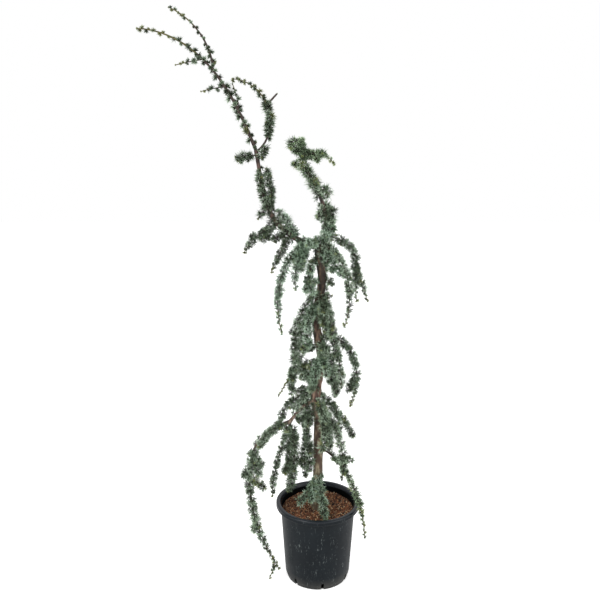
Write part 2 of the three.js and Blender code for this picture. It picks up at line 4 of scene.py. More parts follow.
import bpy
import numpy as np
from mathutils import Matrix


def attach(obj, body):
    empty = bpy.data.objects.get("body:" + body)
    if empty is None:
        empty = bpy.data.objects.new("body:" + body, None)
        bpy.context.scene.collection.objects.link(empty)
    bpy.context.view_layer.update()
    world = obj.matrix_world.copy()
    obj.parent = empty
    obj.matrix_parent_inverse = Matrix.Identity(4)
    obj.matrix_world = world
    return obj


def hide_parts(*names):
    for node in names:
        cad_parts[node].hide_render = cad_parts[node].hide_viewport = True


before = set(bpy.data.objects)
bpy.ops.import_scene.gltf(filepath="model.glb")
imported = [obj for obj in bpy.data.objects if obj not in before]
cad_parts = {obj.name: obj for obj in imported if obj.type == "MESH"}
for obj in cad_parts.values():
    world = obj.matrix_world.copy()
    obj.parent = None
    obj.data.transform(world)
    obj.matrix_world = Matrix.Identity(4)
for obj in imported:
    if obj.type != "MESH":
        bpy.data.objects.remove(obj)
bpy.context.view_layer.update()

MM = 0.001
GOLDEN_ANGLE = 137.5
WHITE = (1, 1, 1, 1)

# The photograph's camera, in metres, degrees and millimetres of lens.
CAMERA = Values(place=(-0.064, -2.390, 1.642), pitch=14.2, lens=43.98, sensor=36.0)

# Pot and soil.
POT = Values(height=292, rim=150, lip=19, wall_top=133, foot=117, chamfer=6, chamfer_height=20, wall=3,
             floor=4, sides=160, sharp=35)
LIP_FOOT = POT.height - POT.lip
INNER_TOP = POT.wall_top - POT.wall
PROFILE = Values(middle=60, fillet=6, lip_round=5, edge_round=4)
OUTSIDE, LIP_PAINTED_REFLECTION, PAINTED_SHADE = range(3)
DRAIN = Values(count=7, heading=278, width=10, height=27, depth=18, corner=3, below=5)
SOIL = Values(level=264, underside=34, edge_dip=5, edge_width=18, rings=44, sides=150, heap=1.6, edge_gap=1.5,
              gap=0.5, middle=2, crumb=0.7)
WAVES = Values(x=0.09, y=0.075, start=1.3, fine=0.6, fine_x=0.21, fine_y=0.17)
CHIPS = Values(count=7600, length=(2.6, 9.5), width=(1.6, 4.2), thick=(1, 2.4), tilt=0.65, uneven=0.22,
               seed=11, edge_gap=6, trunk_gap=1, rise=(-0.5, 2.5), grain=0.55)

# Trunk and boughs.
TRUNK = Values(top=1228, foot=17.5, tip=13, step=2.5, sides=60)
FLARE = Values(width=8, height=40, lobes=5, lobe_depth=0.16)
SWAY = Values(width=9, depth=5.4, length=285, trough=682, start=532, end=1122)
BOUGH = Values(step=30, parts=12, sides=32)
TUBE_POINT = 2.0

# Relief of the bark: columns round the limb, the length of a cell along it and the depth of the relief.
PLATES = Values(columns=9, cell=26, depth=1.1)
FISSURES = Values(columns=17, cell=17, depth=1.3)
GRAIN = Values(columns=34, cell=6, depth=0.45)
COLLAR = Values(height=2.6, width=7.5, ring=2)
FEWEST_COLUMNS = 5
BARK_SEEDS = Values(trunk=20, bough=30, step=10)

# Shoots and their side branches: a few twigs, and short twiglets between them. A roll's shifts go to its seed
# and its count.
SHOOT = Values(step=19.5, parts=4, sides=6, shoulder=0.7, root=1.8, root_gain=0.005, tip=1.5)
BRANCH = Values(step=16, bare=6, clad=0.95, lengths=(0.7, 1.3))
TWIG = Values(first=24, spacing=240, gaps=(0.8, 1.2), gap_roll=(0, 50), length=38, length_roll=(0, 0),
              shortest=28, shrink=(1, 0.6), angle=52, sag=45, turn=0, seed=0, fewest=2, reach=1)
TWIGLET = Values(first=10, spacing=44, gaps=(0.4, 1.6), gap_roll=(2, 0), length=15, length_roll=(1, 0),
                 shortest=0, shrink=(1, 1), angle=58, sag=30, turn=90, seed=1, fewest=3, reach=0.8)
SEED = Values(per_mass=7, per_shoot=5, turn=40, reach_rolls=7)
ROLL = Values(spur_gap=3, fresh=4, shade=5)
ROLL_FACTORS = (127.1, 311.7, 43758.5453)

# Spurs that each bear one rosette of needles.
SPRAY = Values(reach=21.6, spread=(0.64, 1.2), lean=0.45, end=9)
SPUR = Values(spacing=5.8, whip_spacing=1.2, uneven=(0.4, 1.6), length=3, whip_length=2, radius=1.1, sides=4,
              point=0.8, depth=0.6, bough_depth=0.9)
NEEDLE = Values(count=29, whip_count=24, width=0.99, whip_width=0.92, waist=0.5, spread=80, jitter=0.18,
                length=(0.6, 1.28), foot=1.5, stray=0.2, seed=5)
PIECE_LIMIT = 190000
STEEP = 0.9

# Margins that needles keep from the soil, the pot's wall and its lip, and points tested at a time.
CLEAR = Values(soil=2, wall=4, wall_middle=2, lip=1)
BATCH = 4000


# A limb starts at a distance along another. Its way is its heading, its climb at the root and at the tip.
def limb(at, way, length, **own):
    return dict(at=at, way=way, length=length, **own)


# Boughs and masses, placed as in the part's source. A mass is a shoot with its forks, mostly on the trunk.
BOUGHS = dict(
    leader=limb(938, (180, 132, 51), 309, on="trunk", bend=0.52, root=8.5, tip=4.4),
    tall_bough_lower=limb(952, (187, 13, 56), 196, on="trunk", root=9.5, tip=7.8),
    tall_bough_upper=limb(192, (183, 62, 83), 217, on="tall_bough_lower", bend=0.4, root=7.5, tip=5.6),
    low_bough_inner=limb(414, (206, 0, -52), 127, on="trunk", bend=0.6, root=6.6, tip=5.4),
    low_bough_outer=limb(122, (206, -15, -55), 148, on="low_bough_inner", bend=2.4, root=5.2, tip=4.2),
)
MASSES = dict(
    tall_crown=limb(
        214, (189, 68, 1), 534, on="tall_bough_upper", bend=2, clad=0.3, tuft=0.7, tone="dark", forks=[
            limb(278, (158, 94, 23), 251, bend=0.7, clad=0.2, tuft=0.55, stout=1.15),
            limb(321, (215, -10, -14), 92, clad=0.3, tuft=0.55, stout=1),
            limb(217, (172, -4, -15), 76, clad=0.3, tuft=0.6, stout=1),
            limb(133, (150, 98, 64), 85, bend=0.5, clad=0.3, tuft=0.55, stout=1),
        ]),
    fork_arc=limb(
        213, (338, 29, 175), 305, on="tall_bough_upper", bend=0.85, bare=48, clad=0.45, tuft=0.85,
        tone="dark", forks=[limb(160, (10, 50, 45), 46, clad=0.1, tuft=0.45, stout=2, young=1)]),
    fork_left=limb(202, (192, -2, -8), 66, on="tall_bough_upper", tuft=0.85, tone="dark"),
    fork_right=limb(186, (318, 20, 86), 54, on="tall_bough_upper", tuft=0.9, tone="dark"),
    tall_sleeve_left=limb(14, (200, 42, 84), 140, on="tall_bough_upper", bend=0.35, tuft=0.8, tone="dark"),
    tall_sleeve_right=limb(
        22, (340, 48, 110), 132, on="tall_bough_upper", bend=0.35, tuft=0.8, tone="dark"),

    leader_top=limb(
        306, (200, 99, -106), 118, on="leader", bend=2.6, tone="green", forks=[
            limb(24, (350, 31, -64), 114, bend=1.2, clad=0.5, tuft=0.9),
            limb(4, (200, 10, -20), 28, tuft=0.8),
            limb(30, (60, 40, -70), 50),
        ]),
    leader_front=limb(124, (205, 20, -20), 27, on="leader"),
    leader_right=limb(196, (340, 98, -121), 54, on="leader"),
    leader_low_right=limb(124, (12, 84, -130), 46, on="leader", forks=[limb(6, (350, -60, -80), 58)]),
    leader_back=limb(152, (72, 25, -80), 74, on="leader"),

    droop_left=limb(166, (166, -30, -61), 154, on="tall_bough_lower", bend=1.6, clad=0.72, tone="dark"),
    bend_left=limb(30, (172, -21, -68), 50, on="tall_bough_upper", clad=0.7, tuft=0.9, tone="dark"),
    droop_mid=limb(
        105, (218, -49, -61), 137, on="tall_bough_lower", clad=0.75, tuft=0.9, tone="dark",
        forks=[limb(11, (174, 22, -15), 92, bend=0.4, tuft=0.9)]),
    droop_front=limb(
        39, (214, 34, -106), 346, on="tall_bough_lower", bend=0.36, clad=0.64, tone="blue", forks=[
            limb(24, (240, -48, -105), 151, bend=1.3, clad=0.64),
            limb(10, (262, -40, -80), 46, tuft=0.8),
        ]),
    bough_sleeve=limb(74, (178, 68, 50), 118, on="tall_bough_lower", bend=0.4, tone="blue"),
    droop_back=limb(30, (150, 34, -106), 100, on="tall_bough_lower", bend=0.36),

    fork_front=limb(36, (228, 24, -24), 84, on="leader", tone="blue", forks=[limb(8, (335, 66, 40), 62)]),
    right_high=limb(
        54, (14, -8, -116), 180, on="leader", bend=1.65, forks=[
            limb(150, (14, -92, -84), 140, clad=0.6, tuft=0.85),
            limb(168, (14, -69, -70), 134, clad=0.5, tuft=0.85),
        ]),
    right_second=limb(955, (326, 130, -107), 326, bend=0.21, clad=0.64),
    right_third=limb(
        934, (322, 31, -107), 99, tuft=1.1, tone="blue", forks=[limb(84, (340, -38, -60), 46, tuft=0.8)]),
    right_tuft=limb(846, (350, 0, -40), 42, tuft=0.85),
    left_high=limb(
        923, (212, -26, -103), 133, bend=0.8, tone="blue", forks=[
            limb(84, (350, -20, -40), 30),
            limb(118, (340, -10, -30), 32),
        ]),

    left_mid=limb(
        798, (186, -1, -100), 300, bend=0.38, forks=[
            limb(278, (190, -70, -96), 112),
            limb(298, (200, -48, -62), 114, clad=0.1, tuft=0.6),
        ]),
    left_inner=limb(769, (235, 46, -98), 174, bend=0.28, tone="blue"),
    right_mid=limb(
        787, (306, 5, -82), 149, bend=0.4, forks=[
            limb(4, (340, 30, -10), 40, tuft=0.8),
            limb(30, (270, -60, -88), 100),
        ]),
    right_inner=limb(726, (332, -12, -89), 275, bend=0.36, clad=0.9),
    right_outer=limb(
        631, (14, 110, -113), 347, bend=0.3, clad=0.7, forks=[limb(224, (196, -50, -86), 50, tuft=0.95)]),
    front_upper=limb(640, (296, 0, -80), 74, bend=0.7),
    left_cross=limb(628, (207, -26, -2), 66, bare=18),
    front_middle=limb(590, (288, 0, -82), 92, bend=0.7, tone="blue"),
    right_low=limb(556, (10, -42, -75), 136, bend=0.4),
    left_short=limb(568, (150, -6, -48), 123, bend=0.4, bare=50, forks=[limb(10, (215, -5, -70), 50)]),
    left_hook=limb(522, (210, -4, -20), 80, forks=[limb(24, (232, -70, -95), 62)]),
    front_lower=limb(572, (248, 0, -86), 104, bend=0.7, tone="blue"),

    left_low=limb(455, (156, -28, -81), 214, bend=1.9, forks=[limb(40, (205, -75, -8), 84, bend=0.8)]),
    low_tail=limb(
        144, (212, -28, -118), 526, on="low_bough_outer", bend=0.26, clad=0.66, forks=[
            limb(14, (322, -56, -90), 92, bend=0.5),
            limb(82, (190, -45, -75), 32),
            limb(116, (345, -10, -50), 44),
            limb(492, (200, -80, -64), 66, clad=0.1, tuft=0.6),
        ]),
    low_sleeve=limb(112, (212, -1, -57), 150, on="low_bough_inner", forks=[limb(14, (262, 20, -60), 52)]),
    hang_outer=limb(114, (204, -69, -92), 282, on="low_bough_inner", bend=2.6, clad=0.9, tuft=0.85),
    hang_middle=limb(
        122, (305, -28, -115), 276, on="low_bough_inner", bend=0.36, clad=0.92, tuft=1.15, tone="dark",
        forks=[
            limb(44, (190, -75, -90), 120),
            limb(142, (185, -30, -70), 52),
        ]),
    hang_inner=limb(
        390, (207, -19, -97), 269, bend=0.27, tuft=0.9, forks=[
            limb(20, (194, -22, -46), 62, tuft=0.9),
            limb(92, (310, -74, -90), 146),
            limb(170, (190, -50, -85), 48),
        ]),
    front_right=limb(416, (294, 50, -112), 204, bend=0.36, forks=[limb(50, (326, -60, -92), 116)]),
    right_a=limb(448, (14, -44, -69), 235, bend=1.4, forks=[limb(98, (325, -64, -94), 92)]),
    right_b=limb(387, (322, 30, -98), 290, bend=0.36, clad=0.82, forks=[limb(198, (350, -15, -50), 38)]),
    right_whip=limb(232, (331, 46, -86), 380, bend=0.28, bare=55, clad=0.68, tuft=0.8, tone="green"),
    base_left=limb(
        127, (222, -74, -29), 122, bend=0.36, tone="blue", forks=[limb(40, (262, -50, -30), 60)]),
    base_front=limb(158, (284, -76, -31), 185, bend=0.84, tone="blue"),

    back_high=limb(915, (80, 5, -96), 270, bend=0.5),
    back_mid=limb(730, (130, -8, -96), 250, bend=0.5),
    back_right=limb(610, (50, -8, -96), 240, bend=0.5),
    back_low=limb(480, (118, -10, -96), 240, bend=0.5),
    back_hang=limb(400, (55, -5, -96), 250, bend=0.45),
)

SHOOT_DEFAULTS = dict(on="trunk", bend=1, bare=12, clad=0.95, tuft=1, tone="grey", forks=[])

# The habit of a mass: how wide apart its spurs stand, how stout its shoots are, how far along their thin
# ends they turn olive, how long its needles are and what is left of that at the tip, how many needles a
# rosette has and, for some, how long the root is bare. A fork's own values go before those of its mass.
PLAIN = dict(open=1, stout=1, young=0.35, lush=1, tip=0.55, dense=1)
HABITS = dict(
    tall_crown=dict(open=1.75, stout=1.4, young=0.5, lush=1.08, tip=0.8, dense=1.7),
    fork_arc=dict(open=1.1, stout=1.1, young=0.15, tip=0.6, dense=1.5, bare=58),
    leader_top=dict(open=0.8, lush=0.88, dense=1.2),
    low_sleeve=dict(bare=34),
)

# Spurs that grow straight from the boughs, by the mass that they are joined to.
BOUGH_SPURS = dict(
    tall_sleeve_left=dict(on="tall_bough_upper", start=2, end=160, spacing=6.6, tuft=0.85, seed=401),
    droop_left=dict(on="tall_bough_lower", start=120, end=194, spacing=5, tuft=0.95, seed=402),
    bough_sleeve=dict(on="tall_bough_lower", start=6, end=96, spacing=6, tuft=0.9, seed=403),
    leader_front=dict(on="leader", start=14, end=166, spacing=4.6, tuft=0.85, seed=404),
    leader_right=dict(on="leader", start=178, end=236, spacing=4, tuft=0.95, seed=408),
    leader_top=dict(on="leader", start=228, end=306, spacing=3.4, tuft=1.05, seed=405),
    low_sleeve=dict(on="low_bough_outer", start=44, end=148, spacing=6.5, tuft=0.9, seed=406),
    left_low=dict(on="low_bough_inner", start=10, end=90, spacing=5, tuft=0.9, seed=407),
)

# Needle colours by tone and shade, at the needle's foot and at its tip. The dark foot colours are painted
# shade in the heart of each rosette.
SHADES = ("deep", "mid", "light", "fresh")
NEEDLE_COLOURS = dict(
    grey=(("#0f0f05", "#4c5945"), ("#17180b", "#6f8169"), ("#222617", "#a3b69e"), ("#484e2e", "#8a935f")),
    blue=(("#111206", "#546952"), ("#1b1e0f", "#7a9179"), ("#292e1d", "#aec4ae"), ("#4a5639", "#8fa179")),
    dark=(("#0c0c04", "#3c4734"), ("#131408", "#54634e"), ("#1d2012", "#82947c"), ("#3b4124", "#757b4f")),
    green=(("#101106", "#4b5a43"), ("#1a1c0d", "#6a7e61"), ("#282d18", "#9cb18f"), ("#484e28", "#8a955f")),
)
SHADE_SHARES = Values(deep=0.3, mid=0.4)
FRESH_SHARE = Values(clad=0.03, tip=0.7)

TREE_BARK = dict(dark="#1f150f", mid="#523c32", light="#8d7161", grey="#5c523f", pale="#958a70",
                 shade="#33271f", shine="#67543f")
BOUGH_BARK = dict(dark="#120c09", mid="#2a1d17", light="#54413a")
LOW_BARK = dict(dark="#2b211b", mid="#665347", light="#948071")
TWIG_BARK = dict(old=("#261d18", "#40332a"), young=("#5a5530", "#423f24"))
DARK_BOUGHS = ("leader", "tall_bough_lower", "tall_bough_upper")
# The inside colour, nearly black, is painted shade for the pot's inner wall and the band under its lip.
PLASTIC = dict(black="#0c1115", worn="#12181c", scuff="#7c8382", dust="#5d5b54", lip="#0c141b",
               inside="#050707")
CHIP_COLOURS = dict(dark="#1d110a", brown="#623c24", red="#905937", tan="#bb9066", pale="#dcc8a6")
CHIP_SHARES = (0.3, 0.27, 0.26, 0.13, 0.04)

# Looks of materials, stops of their colours, and heights in metres where the trunk's bark changes.
NEEDLE_LOOK = dict(roughness=0.62, specular=0.3)
TWIG_LOOK = dict(roughness=0.8, scale=260, detail=4, strength=0.5, distance=0.0006)
CHIP_LOOK = dict(roughness=0.9, scale=300, detail=5, strength=0.5, distance=0.0008)
SOIL_LOOK = dict(roughness=0.95, scale=170, detail=6, strength=0.9, distance=0.003)
TWIG_STOPS = (0.35, 0.7)
CHIP_STOPS = (0.3, 0.65)
SOIL_STOPS = dict(dark=0.35, brown=0.55, red=0.75)
LIP_LOOK = dict(roughness=0.26, specular=0.3)
INSIDE_LOOK = dict(roughness=0.8, specular=0.05)
BARK_STOPS = (0.36, 0.5, 0.64)
GREY_FOOT = (0.4, 0.64)
DARK_TOP = (0.8, 1.0)

# The stage: a white floor that glows a little, two soft lights and even daylight.
FLOOR = Values(half=9000, colour="#f8f8f8", roughness=0.95, glow=0.4)
LIGHTS = dict(
    key=dict(spot=(-2.4, -2.6, 3.4), target=(-0.1, 0, 0.9), size=2.2, power=90),
    fill=dict(spot=(2.8, -2.2, 2.0), target=(-0.1, 0, 0.8), size=2.6, power=30),
)
DAYLIGHT = 1.0


# Numbers and vectors.
def lerp(low, high, share):
    return low + (high - low) * share


def smoothstep(value, low, high):
    share = np.clip((value - low) / (high - low), 0, 1)
    return share * share * (3 - 2 * share)


def unit(vectors):
    return vectors / np.linalg.norm(vectors, axis=-1, keepdims=True)


# A way at right angles to each of the ways.
def sideways(ways):
    helper = np.where(np.abs(ways[:, 2:]) < STEEP, [[0.0, 0.0, 1.0]], [[1.0, 0.0, 0.0]])
    return unit(np.cross(ways, helper))


# Points at a distance from the upright axis, a turn round it and a height.
def round_points(radius, turn, z):
    x = radius * np.cos(turn)
    return np.stack([x, radius * np.sin(turn), np.broadcast_to(z, x.shape)], axis=-1)


# A repeatable number from 0 to 1 for a seed and a count.
def chance(seed, count):
    wave = math.sin(seed * ROLL_FACTORS[0] + count * ROLL_FACTORS[1]) * ROLL_FACTORS[2]
    return wave - math.floor(wave)


# The linear light of a colour on a screen.
def linear(colour):
    parts = [int(colour[i:i + 2], 16) / 255 for i in (1, 3, 5)]
    return [p / 12.92 if p <= 0.04045 else ((p + 0.055) / 1.055) ** 2.4 for p in parts] + [1.0]


# Smooth noise from 0 to 1 on a limb's skin, which closes round the limb.
def skin_noise(turns, distance, columns, cell, seed):
    rows = int(distance.max() / cell) + 2
    grid = np.random.default_rng(seed).random((rows, columns))
    x = turns * columns
    y = distance / cell
    column = np.floor(x).astype(int)
    row = np.floor(y).astype(int)
    across = smoothstep(x - column, 0, 1)
    down = smoothstep(y - row, 0, 1)
    near = lerp(grid[row, column % columns], grid[row, (column + 1) % columns], across)
    far = lerp(grid[row + 1, column % columns], grid[row + 1, (column + 1) % columns], across)
    return lerp(near, far, down)


# Paths: a row of points at even steps, with the way ahead and the two ways across at each of them.
class Path:
    def __init__(self, points, yaw, length):
        self.points = points
        self.length = length
        self.ahead = unit(np.gradient(points, axis=0))
        self.side = np.tile([-math.sin(yaw), math.cos(yaw), 0.0], (len(points), 1))
        self.lift = unit(np.cross(self.ahead, self.side))
        self.shares = np.linspace(0, 1, len(points))

    def at(self, distance):
        place = min(max(distance / self.length, 0), 1) * (len(self.points) - 1)
        index = min(int(place), len(self.points) - 2)
        rest = place - index
        rows = (self.points, self.ahead, self.side, self.lift)
        return [lerp(row[index], row[index + 1], rest) for row in rows]


# A smooth curve through points, with a number of parts between each two.
def smooth_curve(points, parts):
    ends = [2 * points[0] - points[1]], [2 * points[-1] - points[-2]]
    knots = np.concatenate([ends[0], points, ends[1]])
    share = (np.arange(parts) / parts)[None, :, None]
    a, b, c, d = (knots[i:len(knots) - 3 + i, None, :] for i in range(4))
    curve = b + 0.5 * share * (c - a + share * (2 * a - 5 * b + 4 * c - d + share * (3 * (b - c) + d - a)))
    return np.concatenate([curve.reshape(-1, 3), points[-1:]])


# A limb sets off at its heading and climb, and bends until its tip points along its fall.
def limb_path(start, row, step, parts, fewest=2):
    steps = max(fewest, int(row["length"] / step + 0.5))
    heading, climb, fall = row["way"]
    yaw = math.radians(heading)
    share = (np.arange(steps) + 0.5) / steps
    pitch = np.radians(climb + (fall - climb) * share ** row.get("bend", 1))
    flat = np.cos(pitch)
    ways = np.stack([flat * math.cos(yaw), flat * math.sin(yaw), np.sin(pitch)], axis=1)
    points = start + np.concatenate([np.zeros((1, 3)), np.cumsum(ways * row["length"] / steps, axis=0)])
    return Path(smooth_curve(points, parts), yaw, row["length"])


# The trunk rises straight from the soil, then sways left and right with a lesser sway fore and aft.
def trunk_path():
    rings = int((TRUNK.top - SOIL.level) / TRUNK.step)
    z = np.linspace(SOIL.level, TRUNK.top, rings + 1)
    sway = smoothstep(z, SWAY.start, SWAY.trough) * (1 - smoothstep(z, SWAY.end, TRUNK.top))
    phase = 2 * np.pi * (z - SWAY.trough) / SWAY.length
    x = -sway * SWAY.width * np.cos(phase)
    y = sway * SWAY.depth * np.sin(phase)
    return Path(np.stack([x, y, z], axis=1), 0.0, TRUNK.top - SOIL.level)


def new_object(name, data):
    obj = bpy.data.objects.new(name, data)
    bpy.context.scene.collection.objects.link(obj)
    return obj


# Meshes: triangles of one kind, gathered into one piece.
class Pile:
    def __init__(self):
        self.points = []
        self.faces = []
        self.looks = []
        self.size = 0

    def add(self, points, faces, look=0):
        self.faces.append(faces + self.size)
        self.points.append(points)
        self.looks.append(np.broadcast_to(look, len(faces)))
        self.size += len(points)

    def build(self, name, materials, smooth=True):
        points = np.concatenate(self.points) * MM
        faces = np.concatenate(self.faces)
        mesh = bpy.data.meshes.new(name)
        mesh.vertices.add(len(points))
        mesh.vertices.foreach_set("co", points.astype(np.float32).ravel())
        mesh.loops.add(3 * len(faces))
        mesh.loops.foreach_set("vertex_index", faces.astype(np.int32).ravel())
        mesh.polygons.add(len(faces))
        mesh.polygons.foreach_set("loop_start", np.arange(0, 3 * len(faces), 3, dtype=np.int32))
        mesh.polygons.foreach_set("material_index", np.concatenate(self.looks).astype(np.int32))
        mesh.polygons.foreach_set("use_smooth", np.full(len(faces), smooth))
        for look in materials:
            mesh.materials.append(look)
        mesh.update(calc_edges=True)
        mesh.validate()
        return new_object(name, mesh)


def place(obj, slot, *nodes):
    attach(obj, "root")
    if nodes:
        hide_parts(*nodes)


# The triangles between rings of corners, with a cap at each end.
def ring_faces(rings, sides):
    corner = np.arange(rings * sides).reshape(rings, sides)
    here = corner[:-1]
    beside = np.roll(here, -1, axis=1)
    above = corner[1:]
    far = np.roll(above, -1, axis=1)
    quads = np.stack([here, beside, far, here, far, above], axis=-1).reshape(-1, 3)
    foot = np.stack([np.full(sides, rings * sides), np.roll(corner[0], -1), corner[0]], axis=-1)
    head = np.stack([np.full(sides, rings * sides + 1), corner[-1], np.roll(corner[-1], -1)], axis=-1)
    return np.concatenate([quads, foot, head])


# A tube along a path, with one radius a ring or one a corner.
def tube(path, radii, sides, point=TUBE_POINT):
    turn = 2 * np.pi * np.arange(sides) / sides
    way = path.side[:, None] * np.cos(turn)[:, None] + path.lift[:, None] * np.sin(turn)[:, None]
    reach = np.broadcast_to(radii.reshape(len(path.points), -1), (len(path.points), sides))
    corners = path.points[:, None] + way * reach[..., None]
    tip = path.points[-1] + path.ahead[-1] * point
    points = np.concatenate([corners.reshape(-1, 3), path.points[:1], [tip]])
    return points, ring_faces(len(path.points), sides)


# Growth: every limb, shoot and twig, and every spur with its rosette.
# From this share of its length a shoot is young and olive.
def young_share(row):
    return lerp(row["clad"], 1, row["young"])


def whip_share(row, share):
    return float(smoothstep(share, row["clad"], lerp(row["clad"], 1, SHOOT.shoulder)))


def stem_radius(path, row, share):
    return lerp(SHOOT.root + SHOOT.root_gain * path.length, SHOOT.tip, share) * row["stout"]


# A side branch leaves its parent at an angle, and sags.
def branch(kind, path, distance, turn, length):
    point, ahead, side, lift = path.at(distance)
    out = side * math.cos(turn) + lift * math.sin(turn)
    tilt = math.radians(kind.angle)
    way = unit(ahead * math.cos(tilt) + out * math.sin(tilt))
    climb = math.degrees(math.asin(way[2]))
    heading = math.degrees(math.atan2(way[1], way[0]))
    row = dict(way=(heading, climb, climb - kind.sag), length=length)
    return limb_path(point, row, BRANCH.step, SHOOT.parts, kind.fewest)


# Counts and distances along a limb, with a gap after each that its count and distance decide.
def places(start, end, gap):
    distance = start
    count = 0
    while distance < end:
        yield count, distance
        distance += gap(count, distance)
        count += 1


# The twigs or twiglets of one shoot, each with its path, row and seed.
def branches_of(kind, path, row, seed):
    def rolled(spread, shifts, count):
        return lerp(*spread, chance(seed + shifts[0], count + shifts[1]))

    def gap(count, _):
        return kind.spacing * row["open"] * rolled(kind.gaps, kind.gap_roll, count)

    branches = []
    finer = {**row, "bare": BRANCH.bare, "clad": BRANCH.clad, "tuft": row["tuft"] * kind.reach}
    for count, distance in places(row["bare"] + kind.first, path.length * row["clad"], gap):
        turn = math.radians(seed * SEED.turn + kind.turn + count * GOLDEN_ANGLE)
        shrink = lerp(*kind.shrink, distance / path.length)
        length = kind.length * row["tuft"] * shrink * rolled(BRANCH.lengths, kind.length_roll, count)
        if length > kind.shortest:
            finer_seed = seed * SEED.per_shoot + count + kind.seed
            branches.append((branch(kind, path, distance, turn, length), finer, finer_seed))
    return branches


# Where a spur stands on its limb, the way out of the limb there, and the spur's own way, which leans ahead.
def spur_ways(path, distance, seed, count):
    point, ahead, side, lift = path.at(distance)
    turn = math.radians(seed * SEED.turn + count * GOLDEN_ANGLE)
    out = side * math.cos(turn) + lift * math.sin(turn)
    return point, out, unit(out + SPRAY.lean * ahead)


# A spur is its foot, head and way, the reach of its needles, how far its shoot has thinned there, its shade
# and how many more needles it bears than others.
def spurs_of(path, row, seed):
    def gap(count, distance):
        wider = lerp(1, SPUR.whip_spacing, whip_share(row, distance / path.length))
        wider *= lerp(*SPUR.uneven, chance(seed + ROLL.spur_gap, count))
        return SPUR.spacing * row["open"] * wider

    spurs = []
    for count, distance in places(row["bare"], path.length, gap):
        share = distance / path.length
        thin = whip_share(row, share)
        point, out, way = spur_ways(path, distance, seed, count)
        foot = point + out * stem_radius(path, row, share) * SPUR.depth
        head = foot + way * lerp(SPUR.length, SPUR.whip_length, thin) * row["tuft"]
        uneven = lerp(*SPRAY.spread, chance(seed, count * SEED.reach_rolls))
        reach = SPRAY.reach * row["tuft"] * row["lush"] * uneven * lerp(1, row["tip"], thin)
        young = float(smoothstep(share, young_share(row), 1))
        spurs.append((foot, head, way, reach, thin, shade_of(seed, count, young), row["dense"]))
    point, ahead, _, _ = path.at(path.length)
    end = SPRAY.end * row["tuft"]
    shade = shade_of(seed, len(spurs), 1.0)
    spurs.append((point - ahead, point + ahead, ahead, end, 1.0, shade, row["dense"]))
    return spurs


def shade_of(seed, count, young):
    if chance(seed + ROLL.fresh, count) < lerp(FRESH_SHARE.clad, FRESH_SHARE.tip, young):
        return SHADES.index("fresh")
    roll = chance(seed + ROLL.shade, count)
    if roll < SHADE_SHARES.deep:
        return SHADES.index("deep")
    return SHADES.index("mid" if roll < SHADE_SHARES.deep + SHADE_SHARES.mid else "light")


def bough_radius(name, share):
    return lerp(BOUGHS[name]["root"], BOUGHS[name]["tip"], share)


# Spurs that stand on a bough itself.
def bough_spurs(row):
    path = paths[row["on"]]
    seed = row["seed"]

    def gap(count, _):
        return row["spacing"] * lerp(*SPUR.uneven, chance(seed + ROLL.spur_gap, count))

    spurs = []
    for count, distance in places(row["start"], row["end"], gap):
        point, out, way = spur_ways(path, distance, seed, count)
        foot = point + out * bough_radius(row["on"], distance / path.length) * SPUR.bough_depth
        roll = chance(seed, count * SEED.reach_rolls)
        reach = SPRAY.reach * row["tuft"] * lerp(*SPRAY.spread, roll)
        head = foot + way * SPUR.length
        spurs.append((foot, head, way, reach, 0.0, shade_of(seed, count, 0.0), 1))
    return spurs


def trunk_radii(path, turns):
    flare = np.exp(-path.shares * path.length / FLARE.height)[:, None]
    lobes = 1 + FLARE.lobe_depth * flare * np.cos(FLARE.lobes * 2 * np.pi * turns)
    return (lerp(TRUNK.foot, TRUNK.tip, path.shares)[:, None] + FLARE.width * flare) * lobes


paths = {"trunk": trunk_path()}
for name, bough in BOUGHS.items():
    start = paths[bough["on"]].at(bough["at"])[0]
    paths[name] = limb_path(start, bough, BOUGH.step, BOUGH.parts)

# Each mass with its shoots, twigs and twiglets, and the collars that they leave on the limbs.
growth = []
collars = {name: [] for name in paths}
for index, (name, mass) in enumerate(MASSES.items()):
    habit = {**PLAIN, **HABITS.get(name, {})}
    row = {**SHOOT_DEFAULTS, **mass, **habit}
    stem = limb_path(paths[row["on"]].at(row["at"])[0], row, SHOOT.step, SHOOT.parts)
    collars[row["on"]].append((row["at"], stem.ahead[COLLAR.ring]))
    shoots = [(stem, row, index * SEED.per_mass)]
    for fork in row["forks"]:
        fork_row = {**SHOOT_DEFAULTS, **habit, **fork}
        fork_path = limb_path(stem.at(fork["at"])[0], fork_row, SHOOT.step, SHOOT.parts)
        shoots.append((fork_path, fork_row, index * SEED.per_mass + len(shoots)))
    twigs = [twig for shoot in shoots for twig in branches_of(TWIG, *shoot)]
    twiglets = [twig for shoot in shoots + twigs for twig in branches_of(TWIGLET, *shoot)]
    growth.append((name, row["tone"], shoots, twigs, twiglets))
for name, bough in BOUGHS.items():
    collars[bough["on"]].append((bough["at"], paths[name].ahead[COLLAR.ring]))

# Points down the middle of every limb, with the limb's radius, to keep needles out of the wood.
wood_points = [paths["trunk"].points]
wood_radii = [trunk_radii(paths["trunk"], np.zeros(1))[:, 0]]
for name in BOUGHS:
    wood_points.append(paths[name].points)
    wood_radii.append(bough_radius(name, paths[name].shares))
wood_points = np.concatenate(wood_points)
wood_radii = np.concatenate(wood_radii)


